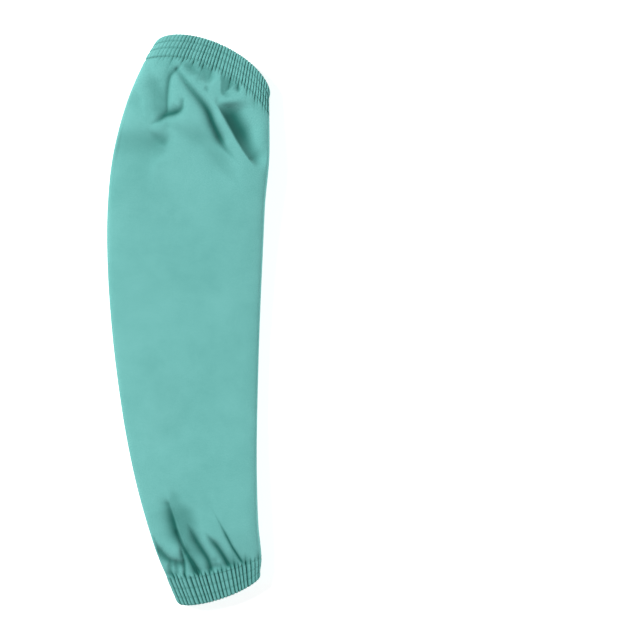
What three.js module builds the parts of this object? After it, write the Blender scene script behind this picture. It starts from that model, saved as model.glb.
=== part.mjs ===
// A welding sleeve of green cotton twill, lying flat. It is a bowed tube that tapers from the upper
// arm to the wrist. At both ends the cloth turns in over a flat elastic, and three rows of
// stitching gather it into ribs. Millimetres, +Z up: the upper arm end points along +Y, the sleeve
// lies on z = 0, and the bow opens towards +X.
import * as THREE from 'three';

// The sleeve as it lies: end to end, across its widest place, and over its highest puff
const LENGTH = 600;
const WIDTH = 165;
const HEIGHT = 36;

// The cloth wall, and the depth and pitch of the ribs that the elastic pulls it into
const CLOTH = 1.3;
const RIB_DEPTH = 1.2;
const UPPER_RIB_PITCH = 3.4;
const LOWER_RIB_PITCH = 3.8;

// The elastic, the clear space round it, and how far it stays from the fold of the rim
const ELASTIC_THICKNESS = 1.4;
const FIT = 0.3;
const RIM_ROOM = 3.2;

// Clear space between the sleeve's body and each cuff, along the sleeve
const CUFF_GAP = 0.4;

// Soft gathers on the body beside each cuff: how deep, how far they run, how many go round
const GATHER_DEPTH = 1.6;
const GATHER_REACH = 26;
const GATHERS_ROUND = 15;

// The cross-section: share of the height at which it is widest, how square its upper and lower
// halves are, and how hard the lower half is pressed flat on the table
const SIDE_HEIGHT = 0.45;
const UPPER_SQUARENESS = 6;
const LOWER_SQUARENESS = 2.6;
const PRESS = 1.3;

// Where the body meets the cuffs, as shares of the way from the wrist rim to the upper rim
const LOWER_CUFF_EDGE = 0.045;
const UPPER_CUFF_EDGE = 0.96;

// Cross-sections from the wrist rim to the upper rim. `at` is the share of the way, `aside` and
// `along` place the middle from the centre of the sleeve as shares of WIDTH and LENGTH, `width` and
// `bulge` are shares of WIDTH, `lean` turns the section in degrees, `corner` rounds the ends of its
// bulge, and `top` is its height as a share of HEIGHT.
const SECTIONS = [
  { at: 0, aside: 0.195, along: -0.472, width: 0.564, lean: 18.4, bulge: -0.066, corner: 0.6, top: 0.64 },
  { at: 0.045, aside: 0.165, along: -0.435, width: 0.618, lean: 12.5, bulge: -0.034, corner: 0.8, top: 0.72 },
  { at: 0.1, aside: 0.116, along: -0.38, width: 0.672, lean: 11.6, bulge: -0.018, corner: 1, top: 0.86 },
  { at: 0.2, aside: 0.06, along: -0.288, width: 0.761, lean: 8.9, bulge: 0, corner: 1, top: 0.76 },
  { at: 0.3, aside: 0.022, along: -0.2, width: 0.833, lean: 3.8, bulge: 0, corner: 1, top: 0.66 },
  { at: 0.4, aside: -0.003, along: -0.111, width: 0.893, lean: -0.7, bulge: 0, corner: 1, top: 0.62 },
  { at: 0.5, aside: -0.019, along: -0.022, width: 0.945, lean: -4.8, bulge: 0, corner: 1, top: 0.64 },
  { at: 0.6, aside: -0.025, along: 0.067, width: 0.988, lean: -8.7, bulge: 0, corner: 1, top: 0.7 },
  { at: 0.7, aside: -0.019, along: 0.156, width: 1.016, lean: -12.6, bulge: 0.013, corner: 1, top: 0.8 },
  { at: 0.8, aside: 0.006, along: 0.245, width: 1.012, lean: -16.7, bulge: 0.038, corner: 1, top: 0.94 },
  { at: 0.9, aside: 0.064, along: 0.332, width: 0.97, lean: -21.2, bulge: 0.089, corner: 1, top: 1 },
  { at: 0.96, aside: 0.12, along: 0.404, width: 0.872, lean: -24.2, bulge: 0.146, corner: 0.8, top: 0.8 },
  { at: 1, aside: 0.154, along: 0.438, width: 0.809, lean: -25.2, bulge: 0.168, corner: 0.6, top: 0.7 },
];

// Folds in the upper layer of the body. `path` runs through [aside, along] places, as shares of
// WIDTH and LENGTH. `depth` is a share of HEIGHT, and a negative one is a ridge. `left` and `right`
// are the widths of its two flanks as shares of WIDTH, seen along the path. A fold with no right
// flank is a step that falls away to its left. `crisp` shapes the flanks, from 1, a crease, to 2, a
// soft dip. `start` and `end` are the strength at its two ends.
const FOLDS = [
  // The long crease under the upper cuff, and the hollow behind the ridge at its right
  { path: [[-0.067, 0.436], [0.01, 0.403], [0.105, 0.366], [0.153, 0.338],
      [0.2, 0.312], [0.251, 0.296], [0.334, 0.268]],
    depth: 0.192, left: 0.05, right: 0.05, crisp: 1.3, start: 0.35, end: 0 },
  { path: [[0.165, 0.387], [0.204, 0.359], [0.258, 0.334], [0.318, 0.306], [0.388, 0.275]],
    depth: 0.3, left: 0.057, right: 0, crisp: 2, start: 0.1, end: 0.5 },
  { path: [[-0.08, 0.455], [0.029, 0.42], [0.137, 0.371], [0.213, 0.333], [0.29, 0.297]],
    depth: -0.05, left: 0.05, right: 0.05, crisp: 2, start: 0.6, end: 0 },
  // The pocket at the left: its upright edge and its lip
  { path: [[-0.129, 0.362], [-0.129, 0.378], [-0.124, 0.403], [-0.108, 0.425],
      [-0.064, 0.437], [-0.01, 0.452]],
    depth: 0.064, left: 0.05, right: 0.05, crisp: 1, start: 0.8, end: 0.4 },
  { path: [[-0.029, 0.38], [-0.038, 0.367], [-0.08, 0.361], [-0.137, 0.356],
      [-0.181, 0.347], [-0.22, 0.341]],
    depth: 0.096, left: 0.05, right: 0.05, crisp: 1.2, start: 0.4, end: 0.2 },
  { path: [[-0.245, 0.435], [-0.213, 0.411], [-0.181, 0.389], [-0.175, 0.371]],
    depth: 0.085, left: 0.051, right: 0.057, crisp: 1.6, start: 0.2, end: 0.8 },
  // Broad soft shades at the left edge and below the pocket
  { path: [[-0.48, 0.309], [-0.34, 0.309], [-0.229, 0.309], [-0.137, 0.307]],
    depth: 0.07, left: 0.083, right: 0.134, crisp: 1.3, start: 1, end: 0 },
  { path: [[-0.13, 0.34], [-0.143, 0.315], [-0.181, 0.294], [-0.226, 0.267]],
    depth: 0.05, left: 0.05, right: 0.057, crisp: 1.5, start: 0.3, end: 0 },
  { path: [[-0.118, 0.337], [0.029, 0.319], [0.143, 0.301], [0.251, 0.259], [0.366, 0.217]],
    depth: 0.072, left: 0.07, right: 0.05, crisp: 1.6, start: 0.3, end: 0 },
  // Short puckers under the upper cuff
  { path: [[0.111, 0.445], [0.13, 0.427], [0.143, 0.406]],
    depth: 0.088, left: 0.05, right: 0.05, crisp: 1.8, start: 1, end: 0 },
  { path: [[0.21, 0.438], [0.207, 0.413], [0.207, 0.396], [0.232, 0.387], [0.315, 0.385]],
    depth: 0.07, left: 0.057, right: 0, crisp: 2, start: 1, end: 0 },
  // A faint wave down the middle
  { path: [[-0.264, -0.056], [-0.181, -0.096], [-0.105, -0.126], [-0.067, -0.158],
      [-0.118, -0.193], [-0.213, -0.228], [-0.169, -0.287]],
    depth: 0.035, left: 0.102, right: 0.102, crisp: 2, start: 0, end: 0 },
  // The long crease above the wrist cuff, its lower half and the facet beside it
  { path: [[-0.14, -0.303], [-0.108, -0.333], [-0.086, -0.354], [-0.067, -0.371],
      [-0.038, -0.39], [-0.01, -0.408]],
    depth: 0.12, left: 0.05, right: 0.07, crisp: 1.2, start: 0.45, end: 0.5 },
  { path: [[-0.067, -0.371], [-0.038, -0.39], [-0.01, -0.406], [0.022, -0.422],
      [0.051, -0.436], [0.08, -0.45]],
    depth: 0.096, left: 0.05, right: 0.05, crisp: 1.2, start: 0.3, end: 1 },
  { path: [[-0.137, -0.297], [-0.099, -0.333], [-0.076, -0.354], [-0.054, -0.373], [-0.01, -0.403]],
    depth: 0.15, left: 0.089, right: 0, crisp: 2, start: 0.4, end: 0 },
  // Shorter creases that fan out from the wrist cuff
  { path: [[-0.016, -0.352], [0.022, -0.369], [0.06, -0.389], [0.099, -0.406],
      [0.13, -0.42], [0.15, -0.438]],
    depth: 0.104, left: 0.05, right: 0.05, crisp: 1.3, start: 0, end: 1 },
  { path: [[0.099, -0.369], [0.143, -0.383], [0.188, -0.397], [0.226, -0.413],
      [0.258, -0.429], [0.277, -0.441]],
    depth: 0.104, left: 0.05, right: 0.05, crisp: 1.3, start: 0, end: 1 },
  { path: [[0.15, -0.322], [0.194, -0.35], [0.251, -0.38], [0.283, -0.397],
      [0.315, -0.411], [0.353, -0.427]],
    depth: 0.04, left: 0.05, right: 0.05, crisp: 1.2, start: 0, end: 1 },
  { path: [[-0.213, -0.387], [-0.181, -0.404], [-0.13, -0.418], [-0.041, -0.425]],
    depth: 0.096, left: 0.05, right: 0.051, crisp: 1.5, start: 0.2, end: 0.8 },
];

// How finely the surfaces are divided: facets round the body and round the cuffs' channels, how
// much of them the flat underside gets, and the spacing of the rings along each stretch of the body
// as a share of LENGTH
const BODY_COLUMNS = 60;
const CHANNEL_COLUMNS = 48;
const UNDERSIDE_SHARE = 0.4;
const STRETCHES = [
  { upTo: 0.22, spacing: 0.016 },
  { upTo: 0.72, spacing: 0.09 },
  { upTo: UPPER_CUFF_EDGE, spacing: 0.016 },
];

// Folds fade out over these shares of the half width and of the length towards sides and cuffs, and
// of their own path towards its ends. ROUNDED takes the edge off a crease, as a share of its flank.
const SIDE_FADE = 0.07;
const CUFF_FADE = 0.02;
const END_FADE = 0.4;
const ROUNDED = 0.4;
const STEPS_PER_FOLD_LEG = 6;

const clothMaterial = (name, colour) =>
  new THREE.MeshStandardMaterial({ name, color: colour, roughness: 0.92, metalness: 0 });
const bodyCloth = clothMaterial('twill', 0x74beb7);
const cuffCloth = clothMaterial('gathered twill', 0x63aca4);
const elasticWeb = clothMaterial('elastic', 0xe9e6dc);

function smooth(share) {
  const t = Math.min(1, Math.max(0, share));
  return t * t * (3 - 2 * t);
}

// The value of one column of SECTIONS at a share of the way, on a smooth curve through its rows
function column(key, at) {
  const last = SECTIONS.length - 1;
  let row = 0;
  while (row < last - 1 && SECTIONS[row + 1].at < at) row += 1;
  const slope = (i) => {
    const [a, b] = [SECTIONS[Math.max(0, i - 1)], SECTIONS[Math.min(last, i + 1)]];
    return (b[key] - a[key]) / (b.at - a.at);
  };
  const [from, to] = [SECTIONS[row], SECTIONS[row + 1]];
  const span = to.at - from.at;
  const t = (at - from.at) / span;
  const rise = to[key] - from[key];
  const fromSlope = slope(row) * span;
  const toSlope = slope(row + 1) * span;
  return from[key] + fromSlope * t + (3 * rise - 2 * fromSlope - toSlope) * t * t
    + (fromSlope + toSlope - 2 * rise) * t * t * t;
}

function section(at) {
  const lean = THREE.MathUtils.degToRad(column('lean', at));
  return {
    middle: new THREE.Vector2(column('aside', at) * WIDTH, column('along', at) * LENGTH),
    across: new THREE.Vector2(Math.cos(lean), Math.sin(lean)),
    ahead: new THREE.Vector2(-Math.sin(lean), Math.cos(lean)),
    halfWidth: (column('width', at) * WIDTH) / 2,
    bulge: column('bulge', at) * WIDTH,
    corner: column('corner', at),
    height: column('top', at) * HEIGHT,
  };
}

// A point of the cross-section in its own plane. `angle` turns from the right side over the top,
// and `inset` moves in from the outer face.
function outline(cut, angle, inset) {
  const [c, s] = [Math.cos(angle), Math.sin(angle)];
  const squareness = s >= 0 ? UPPER_SQUARENESS : LOWER_SQUARENESS;
  const radius = (Math.abs(c) ** squareness + Math.abs(s) ** squareness) ** (-1 / squareness);
  const side = SIDE_HEIGHT * cut.height;
  const z = s >= 0
    ? side + (cut.height - inset - side) * radius * s
    : Math.max(inset, side + (side - inset) * PRESS * radius * s);
  return new THREE.Vector2((cut.halfWidth - inset) * radius * c, z);
}

// The same point in the sleeve's frame. `forward` moves it along the sleeve.
function skinPoint(cut, angle, inset, forward = 0) {
  const flat = outline(cut, angle, inset);
  const share = Math.min(1, Math.abs(flat.x) / cut.halfWidth);
  const ahead = forward + cut.bulge * (1 - share * share) ** cut.corner;
  const plan = cut.middle.clone().addScaledVector(cut.across, flat.x).addScaledVector(cut.ahead, ahead);
  return new THREE.Vector3(plan.x, plan.y, flat.y);
}

// Angles that divide the outline evenly by length, with the underside's length given a weight
function evenAngles(cut, count, undersideShare) {
  const samples = 720;
  const travelled = [0];
  let before = outline(cut, 0, 0);
  for (let i = 1; i <= samples; i += 1) {
    const point = outline(cut, (2 * Math.PI * i) / samples, 0);
    const weight = i <= samples / 2 ? 1 : undersideShare;
    travelled.push(travelled[i - 1] + weight * point.distanceTo(before));
    before = point;
  }
  const angles = [];
  let i = 0;
  for (let k = 0; k < count; k += 1) {
    const goal = (travelled[samples] * k) / count;
    while (travelled[i + 1] < goal) i += 1;
    const part = (goal - travelled[i]) / (travelled[i + 1] - travelled[i]);
    angles.push((2 * Math.PI * (i + part)) / samples);
  }
  return angles;
}

// Each fold's path as short legs in millimetres, on a smooth curve through its places
const foldLegs = FOLDS.map((fold) => {
  const places = fold.path.map(([aside, along]) => new THREE.Vector2(aside * WIDTH, along * LENGTH));
  return new THREE.SplineCurve(places).getPoints(STEPS_PER_FOLD_LEG * (places.length - 1));
});

// How far one fold moves a place of the upper layer down. `turn` is 1 straight to the left of the
// path and -1 straight to the right.
function foldDepth(fold, legs, place) {
  const nearest = { distance: Infinity, turn: 0, leg: 0 };
  for (let i = 0; i + 1 < legs.length; i += 1) {
    const leg = legs[i + 1].clone().sub(legs[i]);
    const offset = place.clone().sub(legs[i]);
    const part = Math.min(1, Math.max(0, offset.dot(leg) / leg.lengthSq()));
    offset.addScaledVector(leg, -part);
    const distance = offset.length();
    if (distance < nearest.distance) {
      const turn = distance > 0 ? leg.cross(offset) / (leg.length() * distance) : 0;
      Object.assign(nearest, { distance, turn, leg: i + part });
    }
  }
  const share = nearest.leg / (legs.length - 1);
  const strength = (fold.start + (1 - fold.start) * smooth(share / END_FADE))
    * (fold.end + (1 - fold.end) * smooth((1 - share) / END_FADE));
  const widened = WIDTH * (0.5 + 0.5 * strength);
  if (fold.right === 0) {
    const away = nearest.distance / (widened * fold.left);
    const step = away * Math.exp((1 - away * away) / 2) * smooth(nearest.turn);
    return fold.depth * HEIGHT * strength * step;
  }
  const toLeft = smooth((nearest.turn + 1) / 2);
  const flank = widened * (fold.right + (fold.left - fold.right) * toLeft);
  const rounded = Math.hypot(nearest.distance / flank, ROUNDED) - ROUNDED;
  return fold.depth * HEIGHT * strength * Math.exp(-(rounded ** fold.crisp));
}

// The folds at a point of the body, none on the underside, at the sides or at the cuffs
function relief(cut, at, angle, point) {
  if (Math.sin(angle) <= 0) return 0;
  const place = new THREE.Vector2(point.x, point.y);
  const share = Math.abs(place.clone().sub(cut.middle).dot(cut.across)) / cut.halfWidth;
  const fade = smooth((1 - share) / SIDE_FADE) * smooth((at - LOWER_CUFF_EDGE) / CUFF_FADE)
    * smooth((UPPER_CUFF_EDGE - at) / CUFF_FADE);
  if (fade === 0) return 0;
  return fade * FOLDS.reduce((sum, fold, i) => sum + foldDepth(fold, foldLegs[i], place), 0);
}

// The gathers beside the cuffs press the body in by this much
function gather(at, share) {
  const fromLower = (at - LOWER_CUFF_EDGE) * LENGTH;
  const fromUpper = (UPPER_CUFF_EDGE - at) * LENGTH;
  const near = Math.min(fromLower, fromUpper);
  const strength = smooth(1 - near / GATHER_REACH);
  return GATHER_DEPTH * strength * (0.5 - 0.5 * Math.cos(2 * Math.PI * GATHERS_ROUND * share));
}

// A closed tube wall from rings in order: out along one face and back along the other. Rings may
// have different numbers of points, and the last ring joins the first.
function wallFromRings(rings) {
  const positions = rings.flatMap((ring) => ring.flatMap((point) => [point.x, point.y, point.z]));
  const faces = [];
  let start = 0;
  rings.forEach((ring, r) => {
    const nextRing = rings[(r + 1) % rings.length];
    const nextStart = r + 1 < rings.length ? start + ring.length : 0;
    let i = 0;
    let j = 0;
    while (i < ring.length || j < nextRing.length) {
      const here = start + (i % ring.length);
      const there = nextStart + (j % nextRing.length);
      if ((i + 1) * nextRing.length <= (j + 1) * ring.length) {
        faces.push(here, start + ((i + 1) % ring.length), there);
        i += 1;
      } else {
        faces.push(here, nextStart + ((j + 1) % nextRing.length), there);
        j += 1;
      }
    }
    start += ring.length;
  });
  const geometry = new THREE.BufferGeometry();
  geometry.setAttribute('position', new THREE.Float32BufferAttribute(positions, 3));
  geometry.setIndex(faces);
  geometry.computeVertexNormals();
  return geometry;
}

// The body's rings, close together where the folds are
function bodyStations() {
  const stations = [LOWER_CUFF_EDGE];
  for (const { upTo, spacing } of STRETCHES) {
    const from = stations[stations.length - 1];
    const count = Math.ceil((upTo - from) / spacing);
    for (let i = 1; i <= count; i += 1) stations.push(from + ((upTo - from) * i) / count);
  }
  return stations;
}

// The tube of cloth between the cuffs: its outer face with folds and gathers, and its inner face
// one cloth thickness below it
function bodyGeometry() {
  const stations = bodyStations();
  const last = stations.length - 1;
  const outer = stations.map((at, row) => {
    const cut = section(at);
    const forward = (row === 0 ? CUFF_GAP : 0) - (row === last ? CUFF_GAP : 0);
    return evenAngles(cut, BODY_COLUMNS, UNDERSIDE_SHARE).map((angle, i) => {
      const point = skinPoint(cut, angle, gather(at, i / BODY_COLUMNS), forward);
      point.z -= relief(cut, at, angle, point);
      return point;
    });
  });
  const inner = outer.map((ring, row) => ring.map((point, i) => {
    const along = outer[Math.min(last, row + 1)][i].clone().sub(outer[Math.max(0, row - 1)][i]);
    const round = ring[(i + 1) % ring.length].clone().sub(ring[(i + ring.length - 1) % ring.length]);
    if (row === 0 || row === last) {
      const { ahead } = section(stations[row]);
      along.set(ahead.x, ahead.y, 0);
    }
    return point.clone().addScaledVector(along.cross(round).normalize(), -CLOTH);
  }));
  return wallFromRings([...outer, ...inner.reverse()]);
}

// How deep below the outer face each layer of a cuff lies
const channelOuter = RIB_DEPTH + CLOTH;
const elasticOuter = channelOuter + FIT;
const elasticInner = elasticOuter + ELASTIC_THICKNESS;
const channelInner = elasticInner + FIT;
const hemInner = channelInner + CLOTH;

// A ring of a cuff or its elastic, `forward` of the cross-section at a share of the way
function smoothRing(at, inset, forward) {
  const cut = section(at);
  return evenAngles(cut, CHANNEL_COLUMNS, 1).map((angle) => skinPoint(cut, angle, inset, forward));
}

// Length round a cross-section's outer face
function girth(cut) {
  const points = evenAngles(cut, CHANNEL_COLUMNS, 1).map((angle) => outline(cut, angle, 0));
  return points.reduce((sum, point, i) => sum + point.distanceTo(points[(i + 1) % points.length]), 0);
}

// A gathered ring: each second point lies in the valley between two ribs
function ribbedRing(at, pitch, crest, valley, forward) {
  const cut = section(at);
  const count = 2 * Math.round(girth(cut) / pitch);
  return evenAngles(cut, count, 1).map((angle, i) => skinPoint(cut, angle, i % 2 ? valley : crest, forward));
}

// A cuff: from its edge beside the body out to the rim and back inside as a turned-in hem, round
// the channel that holds the elastic. `outward` is 1 where the rim faces +Y and -1 at the wrist.
function cuffGeometry({ edge, rim, pitch, outward }) {
  const inFromRim = (distance) => -outward * distance;
  return wallFromRings([
    ribbedRing(edge, pitch, 0, RIB_DEPTH, 0),
    ribbedRing(rim, pitch, 0, RIB_DEPTH, inFromRim(RIM_ROOM)),
    ribbedRing(rim, pitch, RIB_DEPTH / 2, channelOuter, inFromRim(CLOTH / 2)),
    smoothRing(rim, (elasticOuter + elasticInner) / 2, 0),
    smoothRing(rim, hemInner, inFromRim(RIM_ROOM)),
    smoothRing(edge, hemInner, 0),
    smoothRing(edge, channelInner, 0),
    smoothRing(rim, channelInner, inFromRim(RIM_ROOM)),
    smoothRing(rim, channelOuter, inFromRim(RIM_ROOM)),
    smoothRing(edge, channelOuter, 0),
  ]);
}

// The flat elastic in the channel, clear of the rim fold and flush with the cuff's open edge
function elasticGeometry({ edge, rim, outward }) {
  const clearOfRim = -outward * (RIM_ROOM + FIT);
  return wallFromRings([
    smoothRing(edge, elasticOuter, 0),
    smoothRing(rim, elasticOuter, clearOfRim),
    smoothRing(rim, elasticInner, clearOfRim),
    smoothRing(edge, elasticInner, 0),
  ]);
}

// Faces point out when the enclosed volume is positive
function facingOut(geometry) {
  const position = geometry.getAttribute('position');
  const index = geometry.getIndex();
  const corner = (i) => new THREE.Vector3().fromBufferAttribute(position, index.getX(i));
  let volume = 0;
  for (let i = 0; i < index.count; i += 3) volume += corner(i).dot(corner(i + 1).cross(corner(i + 2)));
  if (volume < 0) {
    for (let i = 0; i < index.count; i += 3) {
      const first = index.getX(i);
      index.setX(i, index.getX(i + 1));
      index.setX(i + 1, first);
    }
    geometry.computeVertexNormals();
  }
  return geometry;
}

const upperCuff = { edge: UPPER_CUFF_EDGE, rim: 1, pitch: UPPER_RIB_PITCH, outward: 1 };
const lowerCuff = { edge: LOWER_CUFF_EDGE, rim: 0, pitch: LOWER_RIB_PITCH, outward: -1 };
const pieces = [
  ['sleeve_body', bodyGeometry(), bodyCloth],
  ['upper_cuff', cuffGeometry(upperCuff), cuffCloth],
  ['lower_cuff', cuffGeometry(lowerCuff), cuffCloth],
  ['upper_elastic', elasticGeometry(upperCuff), elasticWeb],
  ['lower_elastic', elasticGeometry(lowerCuff), elasticWeb],
];

const sleeve = new THREE.Group();
for (const [name, geometry, material] of pieces) {
  const mesh = new THREE.Mesh(facingOut(geometry), material);
  mesh.name = name;
  sleeve.add(mesh);
}

// The origin is the middle of the sleeve's footprint
const reach = new THREE.Box3().setFromObject(sleeve);
const centre = reach.getCenter(new THREE.Vector3());
sleeve.position.set(-centre.x, -centre.y, -reach.min.z);

export default sleeve;
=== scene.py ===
# %% [markdown]
# A welding sleeve of green cotton twill, lying flat and seen from straight above.
#
# The frame is the sleeve at its real size: a tube of cloth with a cuff at each end and a flat
# elastic in each cuff. This lesson dresses it. It makes the cloth again at a fine scale, with ribs,
# gathers and folds, sews it with thread, gives it a woven finish, and lights it.

# %% Load the frame
import math

import bpy
import numpy as np
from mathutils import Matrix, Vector


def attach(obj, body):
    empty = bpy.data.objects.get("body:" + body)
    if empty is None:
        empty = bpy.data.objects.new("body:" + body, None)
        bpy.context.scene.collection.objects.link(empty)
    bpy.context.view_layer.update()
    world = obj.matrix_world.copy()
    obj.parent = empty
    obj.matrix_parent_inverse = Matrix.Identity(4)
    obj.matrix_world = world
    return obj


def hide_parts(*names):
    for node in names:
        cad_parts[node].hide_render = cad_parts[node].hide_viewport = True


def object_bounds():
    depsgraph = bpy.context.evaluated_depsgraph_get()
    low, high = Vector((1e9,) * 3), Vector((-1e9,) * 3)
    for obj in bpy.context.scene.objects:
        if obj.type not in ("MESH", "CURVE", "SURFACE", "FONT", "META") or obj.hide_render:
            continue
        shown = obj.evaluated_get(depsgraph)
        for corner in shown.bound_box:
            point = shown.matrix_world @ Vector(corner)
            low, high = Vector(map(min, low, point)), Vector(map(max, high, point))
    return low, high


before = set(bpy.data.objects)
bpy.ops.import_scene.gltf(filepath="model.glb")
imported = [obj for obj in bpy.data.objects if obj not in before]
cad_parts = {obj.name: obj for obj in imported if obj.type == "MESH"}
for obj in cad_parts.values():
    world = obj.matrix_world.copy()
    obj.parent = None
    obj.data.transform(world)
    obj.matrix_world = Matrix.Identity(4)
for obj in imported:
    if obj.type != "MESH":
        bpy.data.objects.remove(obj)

cad_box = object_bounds()
print("frame:", sorted(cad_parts), "box:", cad_box)

# %% [markdown]
# The camera looks straight down on the sleeve, because that is how the picture was taken. Its
# view is 0.672 m wide, 1.05 mm to a pixel, and the sleeve lies left of the middle. A long lens far
# above the table keeps the sides of the sleeve out of sight. A near camera would show them.

# %% Place the camera
PIXEL = 0.00105
VIEW_PIXELS = 640
SLEEVE_PIXEL = (188.5, 320.0)
CAMERA_HEIGHT = 3.0
SENSOR = 0.036
SLEEVE_LEVEL = 0.02


def add_camera():
    data = bpy.data.cameras.new("camera")
    camera = bpy.data.objects.new("camera", data)
    bpy.context.scene.collection.objects.link(camera)
    middle = VIEW_PIXELS / 2
    camera.location = (
        (middle - SLEEVE_PIXEL[0]) * PIXEL,
        (SLEEVE_PIXEL[1] - middle) * PIXEL,
        CAMERA_HEIGHT + SLEEVE_LEVEL,
    )
    data.sensor_width = SENSOR * 1000
    data.lens = SENSOR * 1000 * CAMERA_HEIGHT / (VIEW_PIXELS * PIXEL)
    bpy.context.scene.camera = camera
    print("camera:", tuple(round(v, 3) for v in camera.location), "lens", round(data.lens, 1))


add_camera()

# %% [markdown]
# The sleeve is one shape from wrist to upper arm. It could be sculpted, or blown up by a cloth
# simulation, but then its outline would be hard to steer. So it is described as sections across a
# bowed middle line, one to a row, and a smooth curve through the rows gives every section between
# them. Three driving sizes scale the table, so it holds shares and not lengths. Two of them are
# the frame's own, to the millimetre, and the third is the sleeve's width as it lies flat.

# %% Sizes and sections of the sleeve
LENGTH = round(float(cad_box[1][1] - cad_box[0][1]), 3)
HEIGHT = round(float(cad_box[1][2] - cad_box[0][2]), 3)
WIDTH = 0.165
CLOTH = 0.0013
SIDE_HEIGHT = 0.45
UPPER_SQUARENESS = 6.0
LOWER_SQUARENESS = 2.6
PRESS = 1.3
LOWER_EDGE = 0.045
UPPER_EDGE = 0.96

# at is the share of the way from the wrist, aside and along place the section's middle, lean turns
# it in degrees, bulge is how far its middle runs ahead of its sides, and corner how squarely
COLUMNS = ("at", "aside", "along", "width", "lean", "bulge", "corner", "height")
SECTIONS = np.array([
    (0.000, 0.195, -0.472, 0.564, 18.4, -0.066, 0.60, 0.64),
    (0.045, 0.165, -0.435, 0.618, 12.5, -0.034, 0.80, 0.72),
    (0.100, 0.116, -0.380, 0.672, 11.6, -0.018, 1.00, 0.86),
    (0.200, 0.060, -0.288, 0.761, 8.9, 0.000, 1.00, 0.76),
    (0.300, 0.022, -0.200, 0.833, 3.8, 0.000, 1.00, 0.66),
    (0.400, -0.003, -0.111, 0.893, -0.7, 0.000, 1.00, 0.62),
    (0.500, -0.019, -0.022, 0.945, -4.8, 0.000, 1.00, 0.64),
    (0.600, -0.025, 0.067, 0.988, -8.7, 0.000, 1.00, 0.70),
    (0.700, -0.019, 0.156, 1.016, -12.6, 0.013, 1.00, 0.80),
    (0.800, 0.006, 0.245, 1.012, -16.7, 0.038, 1.00, 0.94),
    (0.900, 0.064, 0.332, 0.970, -21.2, 0.089, 1.00, 1.00),
    (0.960, 0.120, 0.404, 0.872, -24.2, 0.146, 0.80, 0.80),
    (1.000, 0.154, 0.438, 0.809, -25.2, 0.168, 0.60, 0.70),
])


def column(name, at):
    stations = SECTIONS[:, 0]
    values = SECTIONS[:, COLUMNS.index(name)]
    slopes = np.empty(len(values))
    slopes[1:-1] = (values[2:] - values[:-2]) / (stations[2:] - stations[:-2])
    slopes[0] = (values[1] - values[0]) / (stations[1] - stations[0])
    slopes[-1] = (values[-1] - values[-2]) / (stations[-1] - stations[-2])
    row = int(np.clip(np.searchsorted(stations, at) - 1, 0, len(values) - 2))
    span = stations[row + 1] - stations[row]
    t = (at - stations[row]) / span
    rise = values[row + 1] - values[row]
    before = slopes[row] * span
    after = slopes[row + 1] * span
    cubic = (before + after - 2 * rise) * t**3
    return values[row] + before * t + (3 * rise - 2 * before - after) * t**2 + cubic


def section(at):
    lean = math.radians(column("lean", at))
    return {
        "at": at,
        "middle": np.array([column("aside", at) * WIDTH, column("along", at) * LENGTH]),
        "across": np.array([math.cos(lean), math.sin(lean)]),
        "ahead": np.array([-math.sin(lean), math.cos(lean)]),
        "half": column("width", at) * WIDTH / 2,
        "bulge": column("bulge", at) * WIDTH,
        "corner": column("corner", at),
        "height": column("height", at) * HEIGHT,
    }


WIDEST = 0.7
print("length and height:", LENGTH, HEIGHT, "widest:", round(2 * section(WIDEST)["half"], 4), "m")

# %% [markdown]
# A section is a flattened oval with a flat foot: cloth that lies on a table is pressed flat below
# and stays puffed above. A superellipse gives both with two numbers. Points on it are found by
# angle, and evenly spaced angles would crowd at the sides, so a point is named by its share of
# the way round. The hidden underside gets half as many points as the upper layer.

# %% Points on a section
UNDERSIDE_SHARE = 0.5
SAMPLES = 1440


def outline(cut, angle, inset):
    c, s = np.cos(angle), np.sin(angle)
    squareness = np.where(s >= 0, UPPER_SQUARENESS, LOWER_SQUARENESS)
    radius = (np.abs(c) ** squareness + np.abs(s) ** squareness) ** (-1 / squareness)
    side = SIDE_HEIGHT * cut["height"]
    above = side + (cut["height"] - inset - side) * radius * s
    below = np.maximum(inset, side + (side - inset) * PRESS * radius * s)
    return (cut["half"] - inset) * radius * c, np.where(s >= 0, above, below)


def skin(cut, angle, inset, forward=0.0):
    lateral, z = outline(cut, angle, inset)
    share = np.minimum(1, np.abs(lateral) / cut["half"])
    ahead = forward + cut["bulge"] * (1 - share**2) ** cut["corner"]
    plan = cut["middle"] + lateral[:, None] * cut["across"] + ahead[:, None] * cut["ahead"]
    return np.column_stack([plan, z])


def measure_round(cut):
    angles = np.linspace(0, 2 * math.pi, SAMPLES + 1)
    x, z = outline(cut, angles, 0.0)
    steps = np.hypot(np.diff(x), np.diff(z))
    weights = np.where(angles[1:] <= math.pi, 1, UNDERSIDE_SHARE)
    travelled = np.concatenate([[0], np.cumsum(steps)])
    weighted = np.concatenate([[0], np.cumsum(steps * weights)])
    return angles, travelled, weighted


def even_shares(count):
    angles, travelled, weighted = measure_round(section(0.5))
    return np.interp(np.arange(count) * weighted[-1] / count, weighted, travelled / travelled[-1])


def angles_at(cut, shares):
    angles, travelled, weighted = measure_round(cut)
    return np.interp(np.mod(shares, 1) * travelled[-1], travelled, angles)


def girth(at):
    return measure_round(section(at))[1][-1]


girths = [round(girth(at), 3) for at in (1, WIDEST, 0)]
print("girth at the upper rim, the widest place and the wrist:", girths)

# %% [markdown]
# Folds show most near the cuffs, where more cloth comes in than the elastic lets through. On the
# real sleeve they are made by hand when it is laid down. Here each one is a short path over the
# upper layer with a depth and the width of its two flanks. A narrow flank turns away from the
# light and reads as a crisp dark line, and a wide one as a soft shade. Cloth simulation would make
# other folds than these, so the folds are placed by name instead.

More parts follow.
